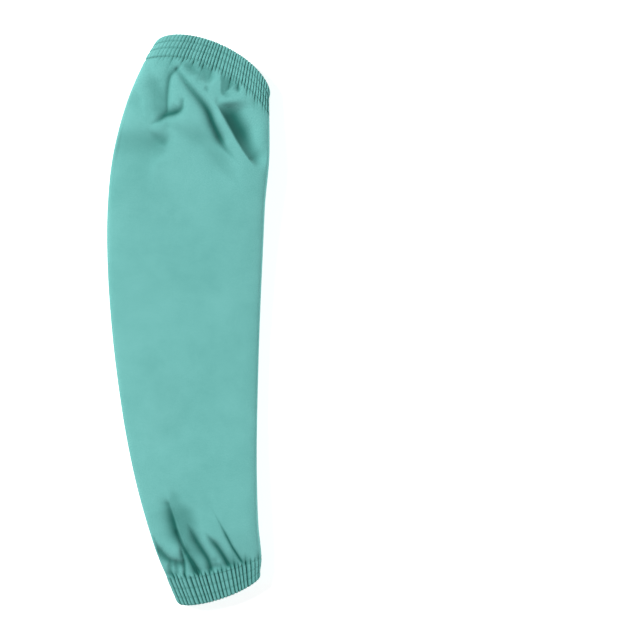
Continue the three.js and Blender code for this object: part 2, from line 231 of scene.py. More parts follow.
# %% Folds of the upper layer
# places and flanks are shares of the sleeve's size, and a fold with no right flank is a step
# shade is how much shade is painted along the fold
FOLD_COLUMNS = ("path", "depth", "left", "right", "crisp", "start", "end", "shade")
FOLDS = [
    # the long crease under the upper cuff, and the hollow behind the ridge at its right
    ([(-0.067, 0.436), (0.02, 0.403), (0.121, 0.368), (0.168, 0.339), (0.212, 0.314),
      (0.251, 0.296), (0.353, 0.261)],
     0.24, 0.023, 0.031, 1.3, 0.35, 0, 1),
    ([(0.178, 0.376), (0.209, 0.36), (0.258, 0.335), (0.318, 0.306), (0.382, 0.28)],
     0.34, 0.076, 0, -2, 0.1, 0.6, 0.95),
    ([(-0.08, 0.455), (0.029, 0.42), (0.137, 0.371), (0.213, 0.333), (0.29, 0.297)],
     -0.05, 0.038, 0.045, 2, 0.6, 0, 0),
    # the pocket at the left: its upright edge and its lip
    ([(-0.129, 0.362), (-0.129, 0.378), (-0.124, 0.403), (-0.108, 0.425), (-0.064, 0.437),
      (-0.01, 0.452)],
     0.08, 0.025, 0.014, 1, 0.8, 0.1, 0.6),
    ([(-0.029, 0.38), (-0.038, 0.367), (-0.08, 0.36), (-0.137, 0.356), (-0.181, 0.347),
      (-0.22, 0.341)],
     0.12, 0.022, 0.032, 1.2, 0.4, 0.2, 0.95),
    ([(-0.245, 0.435), (-0.213, 0.411), (-0.181, 0.389), (-0.175, 0.371)],
     0.085, 0.051, 0.057, 1.6, 0.2, 0.8, 0.35),
    # broad soft shades at the left edge and below the pocket
    ([(-0.48, 0.309), (-0.34, 0.309), (-0.229, 0.309), (-0.137, 0.307)],
     0.08, 0.075, 0.12, 1.3, 1, 0, 0.25),
    ([(-0.423, 0.383), (-0.334, 0.385), (-0.27, 0.389)], 0.04, 0.045, 0.076, 1.5, 1, 0, 0.12),
    ([(-0.245, 0.327), (-0.194, 0.317), (-0.15, 0.308), (-0.143, 0.297)],
     0.05, 0.032, 0.032, 1.4, 0.2, 0, 0.35),
    ([(-0.13, 0.34), (-0.143, 0.315), (-0.181, 0.294), (-0.226, 0.267)],
     0.05, 0.045, 0.057, 1.5, 0.3, 0, 0.28),
    ([(-0.118, 0.337), (0.029, 0.319), (0.143, 0.301), (0.251, 0.259), (0.366, 0.217)],
     0.09, 0.07, 0.045, 1.6, 0.3, 0, 0.22),
    # short puckers under the upper cuff
    ([(0.111, 0.445), (0.13, 0.427), (0.143, 0.406)], 0.11, 0.038, 0.038, 1.8, 1, 0, 0.35),
    ([(0.003, 0.452), (0.022, 0.438), (0.099, 0.425)], 0.09, 0.032, 0.032, 1.5, 0.8, 0, 0.35),
    ([(0.21, 0.438), (0.207, 0.413), (0.207, 0.396), (0.232, 0.387), (0.315, 0.385)],
     0.07, 0.057, 0, -2, 1, 0, 0.35),
    ([(0.315, 0.416), (0.321, 0.404), (0.328, 0.394)], 0.06, 0.013, 0.019, 1.3, 1, 0, 0.6),
    ([(0.111, 0.408), (0.124, 0.401), (0.134, 0.394)], 0.03, 0.013, 0.013, 1.4, 0, 0, 0.3),
    # a faint wave down the middle
    ([(-0.264, -0.056), (-0.181, -0.096), (-0.105, -0.126), (-0.067, -0.158), (-0.118, -0.193),
      (-0.213, -0.228), (-0.169, -0.287)],
     0.035, 0.102, 0.102, 2, 0, 0, 0.05),
    # the long crease above the wrist cuff, its lower half, its branch and the facet beside it
    ([(-0.119, -0.324), (-0.106, -0.335), (-0.086, -0.353), (-0.067, -0.371), (-0.038, -0.39),
      (-0.01, -0.408)],
     0.16, 0.015, 0.057, 1.2, 0.6, 0.25, 1),
    ([(-0.067, -0.371), (-0.038, -0.39), (-0.01, -0.406), (0.022, -0.422), (0.051, -0.436),
      (0.08, -0.45)],
     0.12, 0.019, 0.025, 1.2, 0.3, 1, 1),
    ([(-0.048, -0.394), (-0.035, -0.411), (-0.022, -0.427), (-0.019, -0.448)],
     0.08, 0.01, 0.013, 1.2, 0.1, 1, 0.8),
    ([(-0.118, -0.318), (-0.098, -0.337), (-0.076, -0.355), (-0.054, -0.373), (-0.01, -0.403)],
     0.05, 0.083, 0, -2, 0.5, 0.8, 0.5),
    # shorter creases that fan out from the wrist cuff
    ([(-0.016, -0.352), (0.022, -0.369), (0.06, -0.389), (0.099, -0.406), (0.13, -0.42),
      (0.15, -0.438)],
     0.13, 0.019, 0.025, 1.3, 0, 1, 0.95),
    ([(0.099, -0.369), (0.143, -0.383), (0.188, -0.397), (0.226, -0.413), (0.258, -0.429),
      (0.277, -0.441)],
     0.13, 0.018, 0.023, 1.3, 0, 1, 0.95),
    ([(0.13, -0.318), (0.213, -0.36), (0.251, -0.38), (0.283, -0.397), (0.315, -0.411),
      (0.356, -0.429)],
     0.045, 0.01, 0.011, 1.2, 0, 1, 0.95),
    ([(0.175, -0.423), (0.188, -0.445)], 0.08, 0.025, 0.025, 1.6, 0.6, 1, 0.4),
    ([(-0.213, -0.383), (-0.188, -0.399), (-0.156, -0.411), (-0.111, -0.421), (-0.041, -0.426)],
     0.13, 0.022, 0.032, 1.4, 0.3, 0.8, 0.8),
    ([(-0.111, -0.423), (-0.111, -0.45)], 0.08, 0.016, 0.016, 1.6, 0.3, 1, 0.5),
    ([(-0.073, -0.423), (-0.067, -0.45)], 0.08, 0.016, 0.016, 1.6, 0.3, 1, 0.5),
]

print("folds:", len(FOLDS))

# %% [markdown]
# Across its path a crease is a dip with a round bottom. A step falls away on one side of its path
# and comes back slowly. Formulas give both, so a fold is moved or widened by its row alone. Each
# fold also says how dark it is, because less light reaches its bottom.

# %% Shape of one fold
LEG_STEPS = 8
ROUNDED = 0.4
DARK_FROM = 0.2
DARK_TO = 2.0
DARK_FADE = 1.2


def smooth(share):
    t = np.clip(share, 0, 1)
    return t * t * (3 - 2 * t)


def curve_through(places):
    points = np.array(places) * (WIDTH, LENGTH)
    padded = np.vstack([2 * points[0] - points[1], points, 2 * points[-1] - points[-2]])
    legs = []
    for a, b, c, d in zip(padded, padded[1:], padded[2:], padded[3:]):
        for t in np.arange(LEG_STEPS) / LEG_STEPS:
            legs.append(0.5 * (2 * b + (c - a) * t + (2 * a - 5 * b + 4 * c - d) * t**2
                               + (3 * b - a - 3 * c + d) * t**3))
    return np.array([*legs, points[-1]])


def dip(share, crisp):
    rounded = np.sqrt(share**2 + ROUNDED**2) - ROUNDED
    return np.exp(-(rounded**crisp))


def step(share, tail):
    return share * np.exp((1 - share**tail) / tail)


def profile(fold, width, distance, turn):
    if fold["crisp"] > 0:
        flank = width * (fold["right"] + (fold["left"] - fold["right"]) * smooth((turn + 1) / 2))
        shape = dip(distance / flank, fold["crisp"])
        return shape, shape**2
    toward = smooth(turn)
    away = distance / (width * fold["left"])
    dark = toward * smooth(away / DARK_FROM) * smooth((DARK_TO - away) / DARK_FADE)
    return step(away, -fold["crisp"]) * toward, dark


print("points on the first path:", len(curve_through(FOLDS[0][0])))

# %% [markdown]
# A fold sinks the points near its path. Each point finds its nearest place on the path, the side
# on which it lies and the share of the way along. A fold grows from one end to the other, and where
# it is weak it is narrow too. All the folds are added up, and they fade out at the sleeve's sides
# and cuffs, where the cloth is held.

# %% Sink the folds
END_FADE = 0.4
FOLD_REACH = 3.2
NARROWEST = 0.2
SIDE_FADE = 0.07
CUFF_FADE = 0.01


def nearest(curve, x, y):
    best = np.full(x.shape, np.inf)
    turn = np.zeros(x.shape)
    share = np.zeros(x.shape)
    for i, (start, end) in enumerate(zip(curve, curve[1:])):
        leg = end - start
        part = np.clip(((x - start[0]) * leg[0] + (y - start[1]) * leg[1]) / (leg @ leg), 0, 1)
        dx, dy = x - start[0] - part * leg[0], y - start[1] - part * leg[1]
        distance = np.hypot(dx, dy)
        closer = distance < best
        best[closer] = distance[closer]
        turn[closer] = ((leg[0] * dy - leg[1] * dx) / (np.hypot(*leg) * distance + 1e-12))[closer]
        share[closer] = ((i + part) / (len(curve) - 1))[closer]
    return best, turn, share


def fold_depth(fold, x, y):
    reach = FOLD_REACH * WIDTH * max(fold["left"], fold["right"])
    curve = curve_through(fold["path"])
    low, high = curve.min(axis=0) - reach, curve.max(axis=0) + reach
    near = (x > low[0]) & (x < high[0]) & (y > low[1]) & (y < high[1])
    distance, turn, share = nearest(curve, x[near], y[near])
    strength = (fold["start"] + (1 - fold["start"]) * smooth(share / END_FADE)) * (
        fold["end"] + (1 - fold["end"]) * smooth((1 - share) / END_FADE))
    width = WIDTH * (NARROWEST + (1 - NARROWEST) * strength)
    shape, dark = profile(fold, width, distance, turn)
    depth, shade = np.zeros(x.shape), np.zeros(x.shape)
    depth[near] = fold["depth"] * HEIGHT * shape * strength
    # painted shade along the fold, which the finish turns into darker colour
    shade[near] = fold["shade"] * dark * strength
    return depth, shade


def relief(points, side, up, at):
    fade = smooth((1 - side) / SIDE_FADE) * (up > 0)
    fade = fade * smooth((at - LOWER_EDGE) / CUFF_FADE) * smooth((UPPER_EDGE - at) / CUFF_FADE)
    made = [fold_depth(dict(zip(FOLD_COLUMNS, row)), points[:, 0], points[:, 1]) for row in FOLDS]
    depth = sum(depth for depth, shade in made)
    light = np.prod([1 - shade for depth, shade in made], axis=0)
    return fade * depth, fade * (1 - light)


deepest = max(row[1] for row in FOLDS) * HEIGHT
print("deepest fold:", round(deepest * 1000, 1), "mm")

# %% [markdown]
# Elastic gathers the cloth into ribs. At the cuff every rib is as narrow as a stitch, and away from
# it three or four ribs run together into a soft puff, and three puffs into a broad one. Each
# valley is sharp and each crest is round, because the thread pulls the valleys in. Every valley has
# its own depth and length, from a fixed seed, so no two ribs are alike.

# %% Ribs of the cuffs
RIB_DEPTH = 0.0024
RIB_WOBBLE = 0.09
WOBBLE_WAVES = (3, 7, 11)
CUFFS = {
    # calm is a place round the cuff where ribs are faint, its width, and how faint they get there
    # the number after calm is how much shade is painted into the rib valleys
    "upper": {"edge": UPPER_EDGE, "rim": 1.0, "outward": 1, "pitch": 0.0034, "seed": 11,
              "calm": (0.47, 0.06, 0.75), "valley_shade": 0.8, "pinch": 0.0009},
    "lower": {"edge": LOWER_EDGE, "rim": 0.0, "outward": -1, "pitch": 0.0038, "seed": 23,
              "calm": (0.03, 0.06, 0.4), "valley_shade": 1.75, "pinch": 0.0004},
}
LEVELS = [
    # ribs that join, depth, shortest and longest reach into the body, distance of the rise
    {"join": 1, "depth": RIB_DEPTH, "reach": (0.003, 0.008), "rise": 0.0},
    {"join": 3, "depth": 0.0017, "reach": (0.006, 0.014), "rise": 0.002},
    {"join": 9, "depth": 0.0012, "reach": (0.014, 0.030), "rise": 0.006},
]
BROADEST = LEVELS[-1]["join"]
WEAKEST = 0.55


def prepare(cuff):
    cuff["ribs"] = int(round(girth(cuff["rim"]) / cuff["pitch"] / BROADEST)) * BROADEST
    random = np.random.default_rng(cuff["seed"])
    for level, facts in enumerate(LEVELS):
        count = cuff["ribs"] // facts["join"]
        low, high = facts["reach"]
        cuff[f"reach{level}"] = low + (high - low) * random.random(count)
        cuff[f"strength{level}"] = WEAKEST + (1 - WEAKEST) * random.random(count)


def rib_phase(cuff, shares):
    random = np.random.default_rng(cuff["seed"])
    waves = sum(np.cos(2 * math.pi * (wave * shares + random.random())) for wave in WOBBLE_WAVES)
    return cuff["ribs"] * shares + RIB_WOBBLE * waves


for cuff in CUFFS.values():
    prepare(cuff)
print("ribs round each cuff:", {name: cuff["ribs"] for name, cuff in CUFFS.items()})

# %% [markdown]
# Points round a ring stand at the same places of every rib, crest and valley alike, because evenly
# spaced ones would cut off some crests and miss some valleys. The underside gets fewer of them.

# %% Points on the ribs
UNDERSIDE_FROM = 0.5
SHARE_STEPS = 20000
CREST_ROUND = 0.55


def rib_shares(cuff, above, below):
    grid = np.linspace(0, 1, SHARE_STEPS + 1)
    phase = rib_phase(cuff, grid)
    turns = np.arange(math.floor(phase[0]), math.ceil(phase[-1]) + 1)
    goals = [goal for goal in np.add.outer(turns, above).ravel() if phase[0] <= goal < phase[-1]]
    sparse = set(np.round(below, 3))
    kept = []
    for share in np.interp(goals, phase, grid):
        place = round(float(np.mod(rib_phase(cuff, np.array([share]))[0], 1)), 3) % 1
        if share < UNDERSIDE_FROM or place in sparse:
            kept.append(share)
    return np.array(kept)


def gather_inset(cuff, shares, distance):
    middle, width, strength = cuff["calm"]
    beside = np.abs(np.mod(shares - middle + 0.5, 1) - 0.5)
    calm = 1 - strength * np.exp(-((beside / width) ** 2))
    inset = np.zeros(len(shares))
    phase = rib_phase(cuff, shares)
    for level, facts in enumerate(LEVELS):
        turn = phase / facts["join"]
        valley = np.round(turn).astype(int) % len(cuff[f"reach{level}"])
        valley_depth = 1 - np.abs(np.sin(math.pi * turn)) ** CREST_ROUND
        fade = smooth(1 - distance / cuff[f"reach{level}"][valley])
        if facts["rise"]:
            fade = fade * smooth(distance / facts["rise"])
        inset += facts["depth"] * valley_depth * fade * cuff[f"strength{level}"][valley]
    return inset * calm


rib_depths = gather_inset(CUFFS["upper"], even_shares(SAMPLES), 0.0)
print("deepest rib:", round(rib_depths.max() * 1000, 2), "mm")

# %% [markdown]
# A row of stitches draws the cloth down on the elastic. Along it the ribs lie flatter, in a narrow
# trough. A cuff has three rows: one where it meets the body and two between that and the rim.

# %% Troughs of the stitch rows
ROW_SHARES = (0.0, 0.40, 0.77)
TROUGH_WIDTH = 0.0010
TROUGH_CALM = 0.3


def pinched(cuff, inset, distances):
    trough = sum(np.exp(-((distance / TROUGH_WIDTH) ** 2)) for distance in distances)
    return inset * (1 - TROUGH_CALM * trough) + cuff["pinch"] * trough


print("rows of stitches on each cuff:", len(ROW_SHARES))

# %% [markdown]
# A wall of cloth is closed: its outer face and its inner face meet at both ends. Both are rings of
# points, and a ring near a cuff needs more points than one in the plain middle. So rings are
# joined by a zip that steps along whichever ring is behind, and neighbours may differ in count.

# %% Make a closed wall from rings
def zip_rings(first, shares, other, other_shares):
    faces = []
    ahead = np.append(shares, 1 + shares[0])
    other_ahead = np.append(other_shares, 1 + other_shares[0])
    i = j = 0
    while i < len(shares) or j < len(other_shares):
        here, there = first + i % len(shares), other + j % len(other_shares)
        after, beyond = first + (i + 1) % len(shares), other + (j + 1) % len(other_shares)
        near = ahead[i + 1] if i < len(shares) else math.inf
        far = other_ahead[j + 1] if j < len(other_shares) else math.inf
        if abs(near - far) < 1e-9:
            faces.append((here, after, beyond, there))
            i += 1
            j += 1
        elif near < far:
            faces.append((here, after, there))
            i += 1
        else:
            faces.append((here, beyond, there))
            j += 1
    return faces


def volume_of(mesh):
    mesh.calc_loop_triangles()
    corners = np.empty(len(mesh.vertices) * 3)
    mesh.vertices.foreach_get("co", corners)
    corners = corners.reshape(-1, 3)
    index = np.empty(len(mesh.loop_triangles) * 3, dtype=int)
    mesh.loop_triangles.foreach_get("vertices", index)
    a, b, c = (corners[index[k::3]] for k in range(3))
    return float(np.einsum("ij,ij->i", a, np.cross(b, c)).sum() / 6)


def wall(name, rings, sharp_rings):
    points = np.vstack([ring["points"] for ring in rings])
    cloth = np.vstack([ring["cloth"] for ring in rings])
    starts = np.concatenate([[0], np.cumsum([len(ring["points"]) for ring in rings])])
    faces = []
    for k in range(len(rings)):
        after = (k + 1) % len(rings)
        faces += zip_rings(starts[k], rings[k]["shares"], starts[after], rings[after]["shares"])
    mesh = bpy.data.meshes.new(name)
    mesh.from_pydata(points.tolist(), [], faces)
    if volume_of(mesh) < 0:
        mesh.flip_normals()
    lay_cloth(mesh, cloth)
    mesh.polygons.foreach_set("use_smooth", np.ones(len(mesh.polygons), dtype=bool))
    mark_sharp(mesh, starts, sharp_rings)
    # each point's painted shade is kept on the mesh, for the finish to darken the colour by
    shade = mesh.attributes.new("hollow", "FLOAT", "POINT")
    shade.data.foreach_set("value", np.concatenate([ring["hollow"] for ring in rings]))
    piece = bpy.data.objects.new(name, mesh)
    bpy.context.scene.collection.objects.link(piece)
    print(name, "faces:", len(mesh.polygons), "volume in ml:", round(volume_of(mesh) * 1e6, 1))
    return piece


def lay_cloth(mesh, cloth):
    corner = np.empty(len(mesh.loops), dtype=int)
    mesh.loops.foreach_get("vertex_index", corner)
    laid = cloth[corner]
    for polygon in mesh.polygons:
        span = slice(polygon.loop_start, polygon.loop_start + polygon.loop_total)
        u = laid[span, 0]
        if u.max() - u.min() > CLOTH_ROUND / 2:
            laid[span, 0] = np.where(u < CLOTH_ROUND / 2, u + CLOTH_ROUND, u)
    layer = mesh.uv_layers.new(name="cloth")
    layer.data.foreach_set("uv", laid.ravel())


def mark_sharp(mesh, starts, sharp_rings):
    ring_of = np.searchsorted(starts, np.arange(starts[-1]), side="right") - 1
    ends = np.empty(len(mesh.edges) * 2, dtype=int)
    mesh.edges.foreach_get("vertices", ends)
    rings = ring_of[ends].reshape(-1, 2)
    sharp = (rings[:, 0] == rings[:, 1]) & np.isin(rings[:, 0], sharp_rings)
    attribute = mesh.attributes.new("sharp_edge", "BOOLEAN", "EDGE")
    attribute.data.foreach_set("value", sharp)


CLOTH_ROUND = girth(WIDEST)
CLOTH_LONG = LENGTH
print("cloth round the widest place:", round(CLOTH_ROUND, 3), "m")

# %% [markdown]
# The frame was centred on its footprint, so the tables' own centre lies a little beside it. The
# shift between the two is found once, from the rim that reaches furthest at each side.

# %% Match the frame's centre
def footprint_shift():
    low, high = np.full(2, np.inf), np.full(2, -np.inf)
    for at in np.linspace(0, 1, 201):
        cut = section(at)
        points = skin(cut, np.linspace(0, 2 * math.pi, 721), 0.0)[:, :2]
        low, high = np.minimum(low, points.min(axis=0)), np.maximum(high, points.max(axis=0))
    return -(low + high) / 2


SHIFT = np.array([*footprint_shift(), 0.0])
print("shift in mm:", np.round(SHIFT * 1000, 2))


def cloth_ring(points, at, shares, hollow=0.0):
    cloth = np.column_stack([shares * CLOTH_ROUND, np.full(len(shares), at * CLOTH_LONG)])
    # the painted shade of a point, from the ribs and the folds together
    valley_shade = np.zeros(len(shares)) + hollow
    return {"points": points + SHIFT, "shares": shares, "cloth": cloth, "hollow": valley_shade}


# %% [markdown]
# The body is the tube between the two cuffs. Its rings stand close where ribs run in from a cuff
# and where the folds are, and far apart in the plain middle, so that points are spent where they
# show. A flat seam closes the tube lengthwise, low on the inner side of the bow, as a band that
# stands up a little, and a few points are set at its edges.

# %% Points of the body's rings
FINE_RIB = np.array([0, 0.08, 0.20, 0.35, 0.5, 0.65, 0.80, 0.92])
COARSE_RIB = np.array([0, 0.17, 0.33, 0.5, 0.67, 0.83])
SPARSE_RIB = np.array([0, 0.5])
SEAM = 0.980
SEAM_HALF = 0.0085
SEAM_STEP = 0.001
SEAM_RISE = 0.0005
SEAM_EDGES = SEAM + np.array([-SEAM_HALF - SEAM_STEP, -SEAM_HALF, SEAM_HALF, SEAM_HALF + SEAM_STEP])


def with_seam(shares):
    clear = np.abs(shares - SEAM) > SEAM_HALF + 2 * SEAM_STEP
    return np.sort(np.concatenate([shares[clear], [SEAM], SEAM_EDGES]))


for cuff in CUFFS.values():
    cuff["fine"] = rib_shares(cuff, FINE_RIB, np.array([0, 0.20, 0.5, 0.80]))
    cuff["coarse"] = rib_shares(cuff, COARSE_RIB, SPARSE_RIB)
STRETCHES = [
    # up to this share of the way, ring spacing, points round
    (LOWER_EDGE + 0.03, 0.0012, with_seam(CUFFS["lower"]["fine"])),
    (0.22, 0.0012, with_seam(CUFFS["lower"]["coarse"])),
    (0.72, 0.0060, with_seam(even_shares(180))),
    (UPPER_EDGE - 0.03, 0.00105, with_seam(CUFFS["upper"]["coarse"])),
    (UPPER_EDGE, 0.0012, with_seam(CUFFS["upper"]["fine"])),
]
print("points round:", [len(stretch[2]) for stretch in STRETCHES])

# %% [markdown]
# Three things shape the cloth beside the outline: the gathers that run in from both cuffs, the
# folds, and a faint unevenness that no real cloth is without. They are worked out for all rings at
# once, which is much faster than point by point. Each point also keeps an amount of painted shade,
# most at the bottoms of ribs and folds, and the finish darkens its colour by that much.

# %% Shape the body's rings
UNEVENNESS = 0.00035
UPPER_BLEND = 0.5
AROUND = ((1, 0), (-1, 0), (0, 1), (0, -1), (1, 1), (-1, 1), (1, -1), (-1, -1))


def uneven(x, y):
    waves = [(31, 12, 0.3), (-17, 41, 1.7), (52, -23, 4.1), (9, 63, 2.2), (71, 38, 5.0)]
    return UNEVENNESS * sum(np.sin(a * x + b * y + c) for a, b, c in waves) / 2


def body_inset(at, shares):
    inset, valley_shade = 0.0, 0.0
    for cuff in CUFFS.values():
        distance = abs(at - cuff["edge"]) * LENGTH
        part = pinched(cuff, gather_inset(cuff, shares, distance), [distance])
        # the ribs' painted shade grows with their depth
        inset, valley_shade = inset + part, valley_shade + cuff["valley_shade"] * part / RIB_DEPTH
    seam = smooth((SEAM_HALF + SEAM_STEP - np.abs(shares - SEAM)) / SEAM_STEP)
    return inset - SEAM_RISE * seam, valley_shade


def body_rings(stations, spread=0.0):
    rings, places, sides, ups, ats = [], [], [], [], []
    for at, shares in stations:
        cut = section(at)
        angle = angles_at(cut, shares)
        inset, valley_shade = body_inset(at, shares)
        points = skin(cut, angle, inset)
        places.append(points)
        sides.append(np.abs((points[:, :2] - cut["middle"]) @ cut["across"]) / cut["half"])
        ups.append(np.sin(angle))
        ats.append(np.full(len(shares), at))
        rings.append((at, shares, valley_shade))
    points, up = np.vstack(places), np.concatenate(ups)
    where = (np.concatenate(sides), up, np.concatenate(ats))
    # the folds' depths, and the shade that they paint on the cloth
    folds, hollows = relief(points, *where)
    for aside, along in AROUND if spread else ():
        beside = relief(points + (aside * spread, along * spread, 0), *where)[0]
        folds = np.maximum(folds, beside)
    points[:, 2] -= folds + smooth(up / UPPER_BLEND) * uneven(points[:, 0], points[:, 1])
    ends = np.cumsum([len(place) for place in places])[:-1]
    parts = zip(np.split(points, ends), np.split(hollows, ends), rings)
    return [cloth_ring(part, at, shares, valley_shade + hollow) for part, hollow, (at, shares, valley_shade) in parts]


gathers = [body_inset(edge, even_shares(SAMPLES))[0].max() for edge in (LOWER_EDGE, UPPER_EDGE)]
print("deepest gather at the lower and the upper cuff in mm:", np.round(np.array(gathers) * 1000, 2))

# %% [markdown]
# The wall of the body is its outer face and, one cloth thickness further in, an inner face with
# fewer points, because only the mouths show it. A Solidify modifier would make it too, but with all
# the points of the outer face. The coarse inner mesh would cut through the narrow creases, so it
# takes the deepest value nearby.

# %% Sew the body's cloth
INNER_COLUMNS = 100
INNER_SPACING = 0.0065


def outer_stations():
    stations = [(LOWER_EDGE, STRETCHES[0][2])]
    at = LOWER_EDGE
    for up_to, spacing, shares in STRETCHES:
        steps = int(math.ceil((up_to - at) * LENGTH / spacing))
        stations += [(at + (up_to - at) * i / steps, shares) for i in range(1, steps + 1)]
        at = up_to
    return stations


def inner_face():
    steps = int((UPPER_EDGE - LOWER_EDGE) * LENGTH / INNER_SPACING)
    stations = LOWER_EDGE + (UPPER_EDGE - LOWER_EDGE) * np.arange(steps + 1) / steps
    grid = body_rings([(at, even_shares(INNER_COLUMNS)) for at in stations], INNER_SPACING / 2)
    points = np.array([ring["points"] for ring in grid])
    along = np.gradient(points, axis=0)
    around = np.roll(points, -1, axis=1) - np.roll(points, 1, axis=1)
    for row, station in ((0, LOWER_EDGE), (-1, UPPER_EDGE)):
        along[row, :, :2] = section(station)["ahead"]
        along[row, :, 2] = 0
    normal = np.cross(along, around)
    normal /= np.linalg.norm(normal, axis=2, keepdims=True)
    for ring, inner in zip(grid, points - CLOTH * normal):
        ring["points"] = inner
    return grid[::-1]


outer_rings = body_rings(outer_stations())
inner_rings = inner_face()
sharp = [0, len(outer_rings) - 1, len(outer_rings), len(outer_rings) + len(inner_rings) - 1]
body_cloth = wall("body_cloth", outer_rings + inner_rings, sharp)
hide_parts("sleeve_body")
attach(body_cloth, "root")

# %% [markdown]
# A cuff is the same cloth turned in over the elastic. Its wall runs out from the last stitch row to
# the rim, rolls over, and comes back inside as the hem. The space between is the channel. It
# keeps the frame's depths, so that the elastic there stays clear of the cloth.

# %% Depths of a cuff
CASING = 0.024
CAD_RIB_DEPTH = 0.0012
FIT = 0.0003
ELASTIC = 0.0014
CHANNEL_OUTER = CAD_RIB_DEPTH + CLOTH
CHANNEL_INNER = CHANNEL_OUTER + 2 * FIT + ELASTIC
HEM_INNER = CHANNEL_INNER + CLOTH
RIM_RADIUS = HEM_INNER / 2
RIM_ROOM = 0.0032
WALL_RINGS = 34
RIM_RINGS = 9
HEM_RINGS = 10
CHANNEL_COLUMNS = 90
HEM_RIBS = 0.2
print("a cuff is", round(HEM_INNER * 1000, 1), "mm thick from its face to the inside of its hem")

# %% [markdown]
# A cuff is one long strip of rings too: along the wall, round the rim, back along the hem, and then
# round the channel. The ribs fade to a fifth of their depth on their way round the rim, since the
# hem inside is pressed flat by the elastic.

# %% Sew the cuffs
def rib_inset(cuff, shares, t):
    ribs = gather_inset(cuff, shares, 0.0)
    return pinched(cuff, ribs, [(t - row) * CASING for row in ROW_SHARES])


def cuff_ring(cuff, t, shares, inset, forward, hollow=0.0):
    cut = section(cuff["edge"] + (cuff["rim"] - cuff["edge"]) * t)
    points = skin(cut, angles_at(cut, shares), inset, cuff["outward"] * forward)
    return cloth_ring(points, cut["at"], shares, hollow)


def cuff_rings(cuff):
    fine, coarse = cuff["fine"], cuff["coarse"]
    rings = []
    for t in np.linspace(0, 1, WALL_RINGS):
        inset = rib_inset(cuff, fine, t)
        # painted shade in the rib valleys, darker where the ribs sink deeper
        valley_shade = cuff["valley_shade"] * inset / RIB_DEPTH
        rings.append(cuff_ring(cuff, t, fine, inset, -RIM_RADIUS * t, valley_shade))
    ribs = rib_inset(cuff, fine, 1.0)
    valley_shade = cuff["valley_shade"] * ribs / RIB_DEPTH
    for turn in np.linspace(0, math.pi, RIM_RINGS)[1:-1]:
        radius = RIM_RADIUS - ribs * (HEM_RIBS + (1 - HEM_RIBS) * (1 + math.cos(turn)) / 2)
        inset = RIM_RADIUS - radius * math.cos(turn)
        ahead = radius * math.sin(turn) - RIM_RADIUS
        rings.append(cuff_ring(cuff, 1.0, fine, inset, ahead, valley_shade))
    for t in np.linspace(1, 0, HEM_RINGS):
        inset = HEM_INNER - HEM_RIBS * rib_inset(cuff, coarse, t)
        rings.append(cuff_ring(cuff, t, coarse, inset, -RIM_RADIUS * t))
    plain = even_shares(CHANNEL_COLUMNS)
    for t, depth in ((0, CHANNEL_INNER), (1, CHANNEL_INNER), (1, CHANNEL_OUTER), (0, CHANNEL_OUTER)):
        rings.append(cuff_ring(cuff, t, plain, depth, -RIM_ROOM * t))
    return rings


cuff_cloths = {}
for name, cuff in CUFFS.items():
    rings = cuff_rings(cuff)
    last = len(rings) - 1
    piece = wall(f"{name}_cuff_cloth", rings, [0, *range(last - 4, last + 1)])
    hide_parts(f"{name}_cuff")
    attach(piece, "root")
    cuff_cloths[name] = piece

# %% [markdown]
# Three rows of thread hold each elastic, and two close the seam. One stitch spans a rib: it lies
# over the crest and dives into the valley at both ends. It could be a curve with a bevel, but a few
# thousand of those are slow. So it is modelled once, as a ball drawn out to a spindle with its ends
# pulled down, and copied to every rib.

# %% Model one stitch
SQUEEZE = (1, 0.9, 0.8)
TIP_FROM = 0.6
TIP_DROP = -1.1


def model_stitch():
    bpy.ops.object.select_all(action="DESELECT")
    across = (0, math.pi / 2, 0)
    bpy.ops.mesh.primitive_uv_sphere_add(segments=6, ring_count=8, radius=1, rotation=across)
    stitch = bpy.context.object
    bpy.ops.object.transform_apply(location=True, rotation=True, scale=True)
    bpy.ops.object.mode_set(mode="EDIT")
    bpy.ops.mesh.select_all(action="SELECT")
    bpy.ops.transform.resize(value=SQUEEZE)
    bpy.ops.object.mode_set(mode="OBJECT")
    for vertex in stitch.data.vertices:
        vertex.select = abs(vertex.co.x) > TIP_FROM
    bpy.ops.object.mode_set(mode="EDIT")
    bpy.ops.transform.translate(value=(0, 0, TIP_DROP))
    bpy.ops.object.mode_set(mode="OBJECT")
    shape = np.array([vertex.co[:] for vertex in stitch.data.vertices])
    faces = [tuple(polygon.vertices) for polygon in stitch.data.polygons]
    bpy.data.objects.remove(stitch)
    return shape, faces


stitch_shape, stitch_faces = model_stitch()
print("one stitch:", len(stitch_faces), "faces")

# %% [markdown]
# A row of stitches is the same stitch many times, each scaled to its rib and turned to the cloth.
# All of one cuff's rows become one piece, since a thousand loose objects would be hard to handle.

# %% Copy the stitch
STITCH_HALF = 0.00115
THREAD_RADIUS = 0.00030
LIFT = THREAD_RADIUS * 0.5
MEASURING_HEIGHT = 0.001


def turned(tangents, outs):
    tangents = tangents / np.linalg.norm(tangents, axis=1, keepdims=True)
    outs = outs - np.einsum("ij,ij->i", outs, tangents)[:, None] * tangents
    return tangents, outs / np.linalg.norm(outs, axis=1, keepdims=True)


def copy_stitches(centres, tangents, outs, half):
    tangents, outs = turned(tangents, outs)
    sides = np.cross(outs, tangents)
    along, across, up = stitch_shape[:, :1] * half, stitch_shape[:, 1:2], stitch_shape[:, 2:]
    points = []
    faces = []
    for k, (centre, tangent, out, side) in enumerate(zip(centres, tangents, outs, sides)):
        points.append(centre + along * tangent + THREAD_RADIUS * (across * side + up * out))
        faces += [tuple(k * len(stitch_shape) + i for i in face) for face in stitch_faces]
    return np.vstack(points), faces


